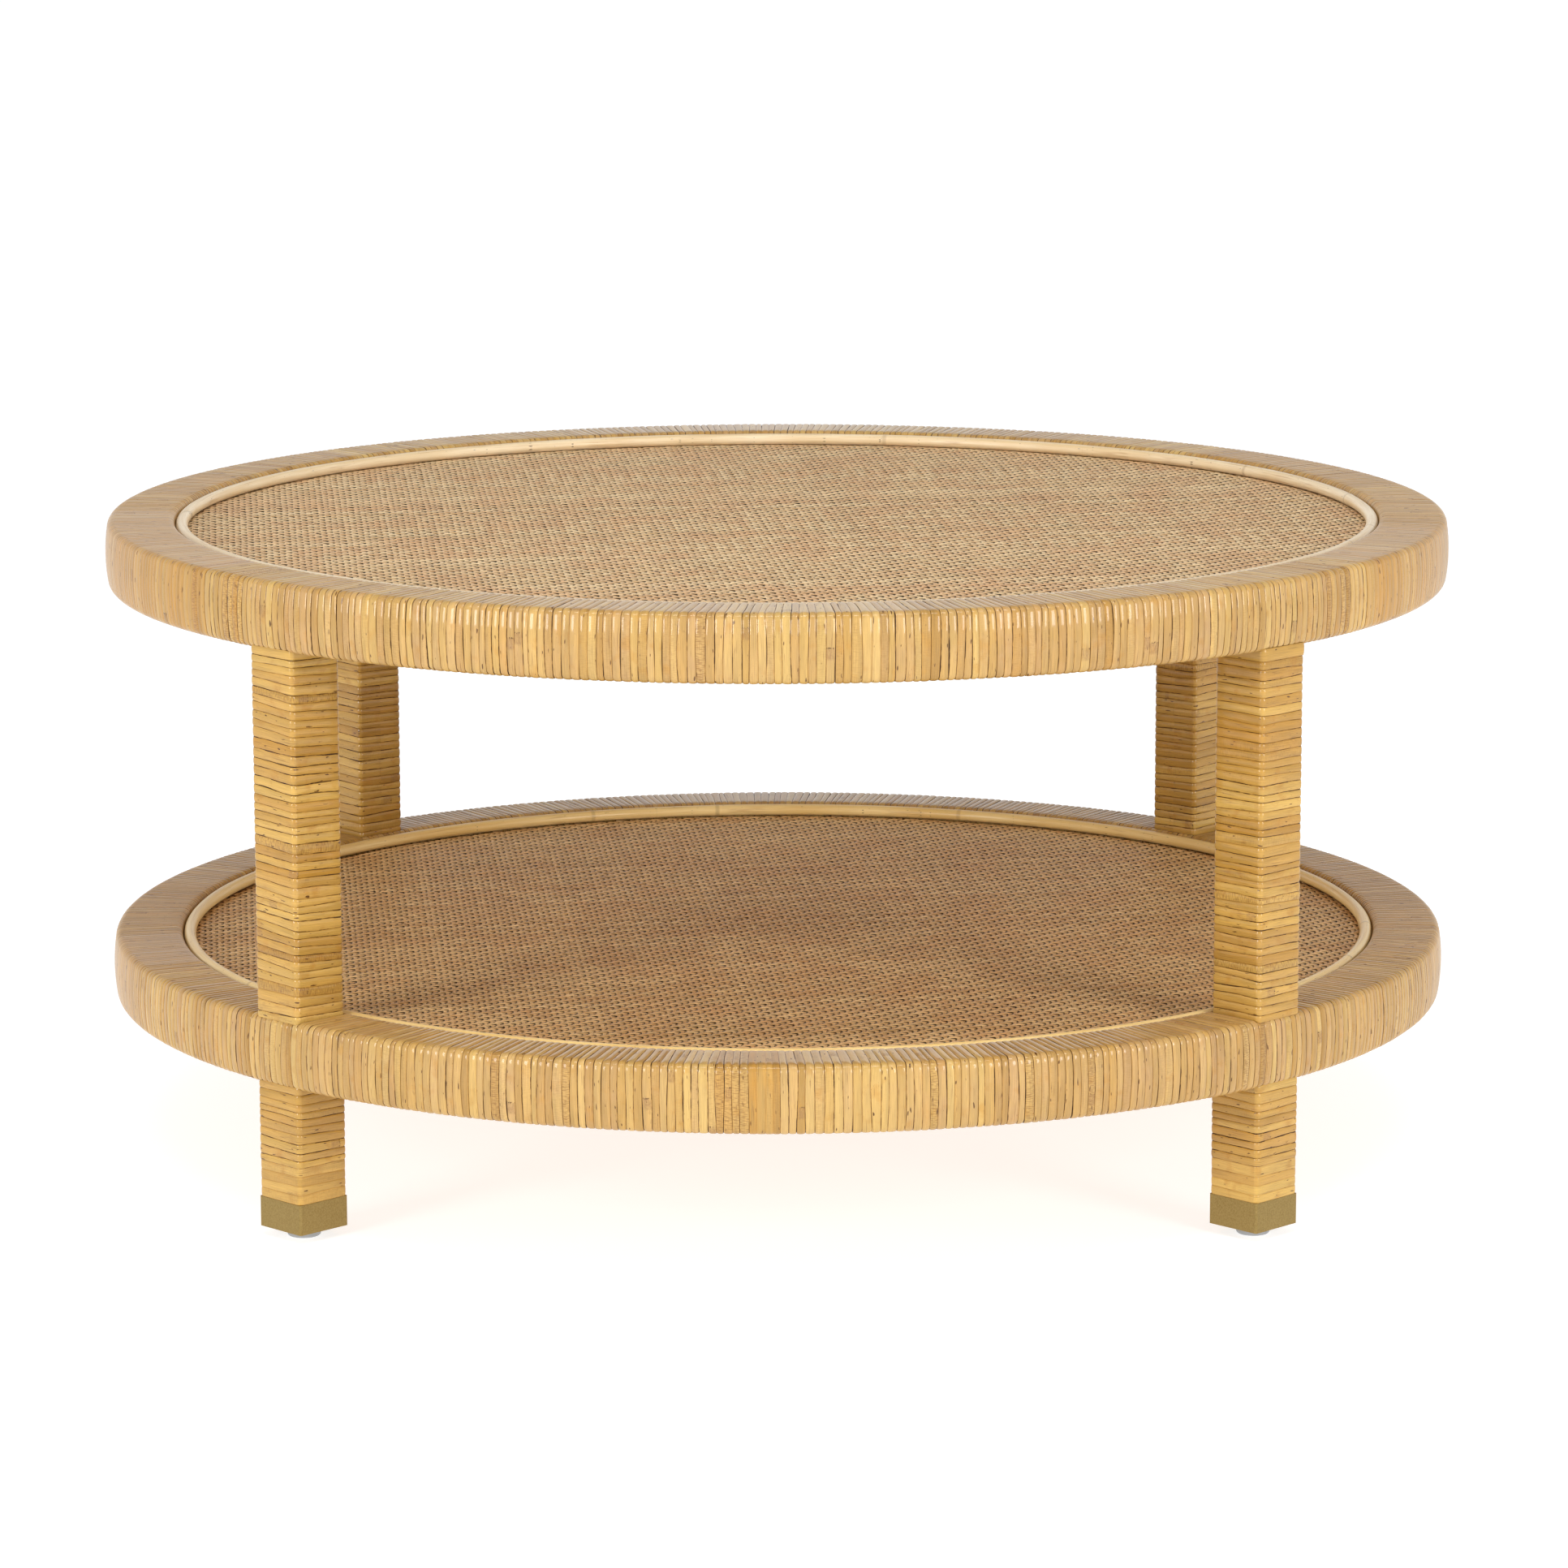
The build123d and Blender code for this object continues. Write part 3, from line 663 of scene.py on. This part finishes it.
RUN_ON = 2.2 * MM
PALE_BAND = 27 * MM  # above each ferrule, wider and paler courses set slightly in
COURSE_TILT = {"front_left": 0.085, "front_right": 0.01, "back_right": -0.04, "back_left": 0.05}
for corner, angle in CORNERS.items():
    outline = post_outline(angle)
    run, length = run_of(outline)
    fall = -COURSE_TILT[corner] * (outline[:, 0] - LEG_RADIUS * math.cos(math.radians(angle)))

    def post_slant(edges):
        return fall * (1 + 0.25 * np.sin(9 * edges[:, None]))

    for part in ("upper", "lower"):
        node = f"leg_wrap_{part}_{corner}"
        low, high = (end.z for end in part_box(node))
        # Where a post meets a ring, its peel runs on behind the ring's rounded edge.
        high += RUN_ON
        low -= RUN_ON if part == "upper" else 0
        weft = Weft()
        if part == "lower":
            split = low + PALE_BAND
            place = post_place(outline, low, split)
            wind(weft, place, run, length, PALE_BAND, 4, rng, True, None, (), -0.3 * MM, "pale")
            low = split
        collar = high
        if (part, corner) == ("upper", "front_right"):
            collar = high - 1.5 * COURSE_PITCH
            place = post_place(outline, collar, high)
            wind(weft, place, run, length, high - collar, 1, rng, True, None, (), 0.8 * MM)
        count = round((collar - low) / COURSE_PITCH)
        place = post_place(outline, low, collar)
        wind(weft, place, run, length, collar - low, count, rng, True, post_slant, (), 0.0, "post")
        weft.build(f"leg_peel_{part}_{corner}", leg_peel, [node])

# ---------------------------------------------------------------- woven mats

SHADE_SHEET_INSET = 5 * MM  # from the ring's inner face to the dark sheet's edge
SHADE_SHEET_ROLL = 1 * MM
SHADE_SHEET_HOLE = 30 * MM
SHADE_SHEET_HEM = 20 * MM
SHADE_SHEET_TOP, SHADE_SHEET_SIDE, SHADE_SHEET_BASE = 0.24 * MM, 0.15 * MM, 0.05 * MM  # above the board
MAT_TUCK = 1.5 * MM  # how far the weave runs out past the middle of the reed
# A flat strand in section, as for the peel.
STRAND_ACROSS = np.array([-1, -0.62, 0.62, 1, 0.75, -0.75])
STRAND_DROP = np.array([0.4, 0.05, 0.05, 0.4, 0.8, 0.8]) * MM
WEFT_WIDTH, WARP_WIDTH = 0.95 * STRAND_PITCH, 0.56 * STRAND_PITCH
WEAVE_RISE = 1.5 * MM  # from a strand under its neighbours to one over them
RIM_DIP = 0.9 * MM
MAT_TURN = math.radians(5.3)  # the mats lie a little askew to the legs
# A strand's path over one repeat of the weave, in pitches: over two neighbours and under one.
PATH_AT = np.array([0.0, 0.8, 1.4, 2.0, 2.5])
PATH_UP = np.array([1.0, 0.84, 0.52, 0.0, 0.4])
# Painted shade on the warp where it shows between the weft's strands: the share of darkening it always gets.
WARP_SHADE = 0.35  # how much darker the warp is, where it shows between the weft's strands


def lay_strand(weft, offset, row, across_x, radius, top, rng):
    """One strand of the 2/1 twill at this offset from the centre.

    Before the mat is turned it runs along X where across_x is set, over two strands and under one, and
    along Y otherwise, the other way round.
    """
    reach = math.sqrt(max(radius**2 - offset**2, 0))
    if reach < 4 * STRAND_PITCH:
        return
    half_count = math.ceil(reach / (3 * STRAND_PITCH))
    repeats = np.arange(-half_count - 1, half_count + 1)
    first = row % 3 + 1
    knots = ((repeats[:, None] * 3 + first + PATH_AT) * STRAND_PITCH).ravel()
    up = np.tile(PATH_UP if across_x else 1 - PATH_UP, len(repeats))
    kept = np.abs(knots) < reach - 0.3 * STRAND_PITCH
    places = np.concatenate([[-reach], knots[kept], [reach]])
    rise = np.concatenate([up[kept][:1], up[kept], up[kept][-1:]])
    sway = 0.25 * MM * np.sin(places * 2 * np.pi / rng.uniform(0.06, 0.2) + rng.uniform(0, 6))
    middle = offset + sway + rng.normal(0, 0.14) * MM
    width = (WEFT_WIDTH if across_x else WARP_WIDTH) * rng.uniform(0.92, 1.04)
    dip = RIM_DIP * np.clip((np.hypot(places, offset) - radius + 9 * MM) / (6 * MM), 0, 1)
    level = top - WEAVE_RISE * (1 - rise) - dip + rng.normal(0, 0.08) * MM - 0.1 * MM
    side = middle[:, None] + width / 2 * STRAND_ACROSS
    height = level[:, None] - STRAND_DROP
    length = np.broadcast_to(places[:, None], side.shape)
    x, y = (length, side) if across_x else (side, length)
    turn_cos, turn_sin = math.cos(MAT_TURN), math.sin(MAT_TURN)
    points = np.stack([x * turn_cos - y * turn_sin, x * turn_sin + y * turn_cos, height], -1)
    uv = np.empty(side.shape + (2,))
    uv[..., 0] = np.where(STRAND_DROP > 0.7 * MM, (STRAND_ACROSS > 0) * 1.0, (STRAND_ACROSS + 1) / 2)
    uv[..., 1] = length + rng.uniform(0, 40)
    tone = [np.clip(0.57 + 0.34 * rng.normal(), 0, 1), rng.random(), 0, 0]
    # How deep each point dives, which the weave's material paints as shade; the warp always gets a share of
    # it.
    dive = 1 - rise if across_x else WARP_SHADE + (1 - WARP_SHADE) * (1 - rise)
    weft.add(points, uv, tone, dive[:, None], False)


for ring in RINGS:
    low, high = MAT_SPAN[ring]
    radius = REED_CENTRE_RADIUS + MAT_TUCK
    rows = math.floor(radius / STRAND_PITCH)
    weft = Weft()
    for row in range(-rows, rows + 1):
        lay_strand(weft, row * STRAND_PITCH, row, True, radius, high, rng)
        lay_strand(weft, row * STRAND_PITCH, row, False, radius, high, rng)
    weft.build(f"{ring}_weave", mat_looks[ring], [f"{ring}_mat"])

    # A dark sheet under the weave that paints the shade seen through its gaps: thin, with a rolled edge and
    # a small hole in its middle.
    weft = Weft()
    turns = np.linspace(0, 2 * np.pi, 180, endpoint=False)
    rim, hole = RING_INNER - SHADE_SHEET_INSET, SHADE_SHEET_HOLE
    outer_part = [(rim - SHADE_SHEET_ROLL, SHADE_SHEET_TOP), (rim, SHADE_SHEET_SIDE), (rim - SHADE_SHEET_ROLL, SHADE_SHEET_BASE)]
    inner_part = [(hole, SHADE_SHEET_BASE), (hole - SHADE_SHEET_HEM, SHADE_SHEET_SIDE)]
    profile = [(hole, SHADE_SHEET_TOP)] + outer_part + inner_part
    loops = np.array([[[r * math.cos(t), r * math.sin(t), low + z] for r, z in profile] for t in turns])
    weft.add(loops, np.zeros(loops.shape[:2] + (2,)), [0, 0, 0, 0], 0.0, True)
    weft.build(f"{ring}_lining", shade_sheet, [f"{ring}_mat"])

# ---------------------------------------------------------------- reeds

SCARF = {"top": 180.0, "shelf": 34.0}
REED_SINK = {"top": 0.8 * MM, "shelf": 0.0}  # how far it presses into the mat
SCARF_SLANT = 3.0  # length of the slanted cut over the reed's own width
AROUND = np.linspace(0, 2 * np.pi, 18, endpoint=False)
for ring in RINGS:
    centre_height = (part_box(f"{ring}_reed")[0].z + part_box(f"{ring}_reed")[1].z) / 2 - REED_SINK[ring]
    around_table = 2 * np.pi * REED_CENTRE_RADIUS
    joints = np.sort(rng.uniform(0.05, 0.95, 9)) * around_table
    evenly = np.linspace(0, around_table, 420)
    close = (joints[:, None] + np.array([-4, -2.2, -1, -0.4, 0, 0.4, 1, 2.2, 4]) * MM).ravel()
    places = np.unique(np.concatenate([evenly, close]))
    mark = places[:, None] - joints
    nearest = mark[np.arange(len(places)), np.abs(mark).argmin(1)]
    ridge = 0.22 * MM * np.exp(-((nearest / (2.2 * MM)) ** 2))
    swell = ridge - 0.08 * MM * np.exp(-((nearest / (0.5 * MM)) ** 2))
    long_wave, short_wave = places * 2 * np.pi / 0.31, places * 2 * np.pi / 0.117
    wander = 0.12 * MM * np.sin(long_wave) + 0.08 * MM * np.sin(short_wave + 2)
    thickness = REED_RADIUS - 0.18 * MM + swell + 0.5 * wander
    out = thickness[:, None] * np.cos(AROUND)
    # The ends are cut on the slant, so each ring of points leans near them.
    ease = np.clip(np.minimum(places, around_table - places) / (40 * MM), 0, 1)
    slant = SCARF_SLANT * (1 - ease)[:, None] * out
    turn = math.radians(SCARF[ring]) + (places[:, None] + slant) / REED_CENTRE_RADIUS
    turn[0] += 0.12 * MM / REED_CENTRE_RADIUS
    turn[-1] -= 0.12 * MM / REED_CENTRE_RADIUS
    distance = REED_CENTRE_RADIUS + out + wander[:, None] * 0.5
    height = centre_height + thickness[:, None] * np.sin(AROUND)
    points = np.stack([distance * np.cos(turn), distance * np.sin(turn), height], -1)
    uv = np.empty(out.shape + (2,))
    uv[..., 0] = 0.5 + 0.5 * np.cos(AROUND)
    uv[..., 1] = places[:, None]
    weft = Weft()
    weft.add(points, uv, [0, 0, 0, 0], nearest[:, None], False)
    weft.build(f"{ring}_reed_pole", reed_looks[ring], [f"{ring}_reed"])

# ---------------------------------------------------------------- materials on the CAD nodes

batten_timber = wood_look("batten_timber", linear(190, 150, 104), linear(150, 110, 70), (7, 120, 120))
plywood = wood_look("plywood", linear(204, 170, 124), linear(172, 134, 88), (6, 70, 70))
dowel_wood = wood_look("beech", linear(214, 180, 132), linear(182, 142, 96), (140, 140, 140))
brass = metal_look("satin_brass", linear(156, 134, 84), linear(136, 113, 66), 0.34, (400, 400, 30))
pin_brass = metal_look("pin_brass", linear(170, 144, 88), linear(120, 96, 52), 0.3, (300, 300, 300))
steel = metal_look("zinc_steel", linear(178, 178, 182), linear(128, 128, 134), 0.3, (500, 500, 60))
foot_plastic = plastic_look("foot_plastic", linear(158, 159, 160), linear(134, 134, 134))

SLOT_LOOKS = {
    "timber": hidden_timber,
    "plywood": plywood,
    "dowel_wood": dowel_wood,
    "ferrule_brass": brass,
    "pin_brass": pin_brass,
    "steel": steel,
    "glide_plastic": foot_plastic,
}
for part in frame["record"]["subparts"]:
    node = frame["nodes"][part["node"]]
    look = SLOT_LOOKS.get(part["material_slot"], ring_peel)
    if part["node"] == "panel_battens":
        look = batten_timber
    for material_slot in node.material_slots:
        material_slot.material = look

# ---------------------------------------------------------------- floor, light and camera


def make_floor():
    """A wide pale floor that glows a little, as a white studio floor does in its own bounced light."""
    data = bpy.data.meshes.new("floor")
    reach = 30.0
    turns = np.linspace(0, 2 * np.pi, 96, endpoint=False)
    rim = [(reach * math.cos(t), reach * math.sin(t), 0) for t in turns]
    data.from_pydata(rim, [], [range(len(rim))])
    floor = bpy.data.objects.new("floor", data)
    bpy.context.scene.collection.objects.link(floor)
    look = Look("floor", Roughness=0.9, Emission_Color=(1, 1, 1, 1), Emission_Strength=0.72)
    grain = look.noise(look.node("TexCoord").outputs["Object"], 3.0)
    data.materials.append(look.finish(look.mix(grain, linear(190, 190, 190), linear(193, 193, 193))))


def soft_light(name, azimuth, elevation, distance, width, height, power):
    """A softbox that faces the table, at an azimuth from the camera's side."""
    data = bpy.data.lights.new(name, "AREA")
    data.shape, data.size, data.size_y, data.energy = "RECTANGLE", width, height, power
    light = bpy.data.objects.new(name, data)
    bpy.context.scene.collection.objects.link(light)
    side, up = math.radians(azimuth), math.radians(elevation)
    away = np.array([math.sin(side) * math.cos(up), -math.cos(side) * math.cos(up), math.sin(up)])
    light.location = away * distance + [0, 0, 0.3]
    light.rotation_euler = (math.pi / 2 - up, 0, side)
    light.visible_camera = False


# The world's brightness by height of view: 0 is level, 1 straight up. Even up to WALL_TOP, then it fades.
WALL_TOP, CEILING = 0.12, 0.75
WALL_BRIGHTNESS, CEILING_BRIGHTNESS = 1.02, 0.38


def white_studio():
    """White walls that fade upward to a dimmer ceiling."""
    world = bpy.data.worlds.new("studio")
    bpy.context.scene.world = world
    world.use_nodes = True
    tree = world.node_tree
    place = tree.nodes.new("ShaderNodeTexCoord")
    parts = tree.nodes.new("ShaderNodeSeparateXYZ")
    fade = tree.nodes.new("ShaderNodeMapRange")
    tree.links.new(place.outputs["Generated"], parts.inputs[0])
    tree.links.new(parts.outputs[2], fade.inputs["Value"])
    fade.inputs["From Min"].default_value, fade.inputs["From Max"].default_value = WALL_TOP, CEILING
    fade.inputs["To Min"].default_value = WALL_BRIGHTNESS
    fade.inputs["To Max"].default_value = CEILING_BRIGHTNESS
    background = tree.nodes["Background"]
    background.inputs["Color"].default_value = (1, 1, 1, 1)
    tree.links.new(fade.outputs[0], background.inputs["Strength"])


make_floor()
soft_light("key", -41, 12, 3.2, 0.9, 1.1, 36)
soft_light("fill", 41, 12, 3.2, 0.9, 1.1, 35)
soft_light("overhead", 0, 62, 3.0, 2.6, 0.25, 34)
white_studio()

bpy.context.scene.view_settings.view_transform = "Standard"

# The camera's place, in table radii: how far in front of the table's middle and how high.
low_corner, high_corner = cad_bounds
table_radius = (high_corner.x - low_corner.x) / 2
CAMERA_DISTANCE, CAMERA_HEIGHT = 9.0182, 2.22457
CAMERA_PITCH, CAMERA_YAW, CAMERA_ROLL = 0.18675, 0.00108, -0.00208
camera_data = bpy.data.cameras.new("camera")
camera_data.sensor_width, camera_data.lens = 36.0, 139.67
camera_data.clip_end = 60
camera = bpy.data.objects.new("camera", camera_data)
bpy.context.scene.collection.objects.link(camera)
camera.location = (0, -CAMERA_DISTANCE * table_radius, CAMERA_HEIGHT * table_radius)
aim = Euler((math.pi / 2 - CAMERA_PITCH, 0, -CAMERA_YAW)).to_matrix() @ Matrix.Rotation(CAMERA_ROLL, 3, "Z")
camera.rotation_euler = aim.to_euler()
bpy.context.scene.camera = camera
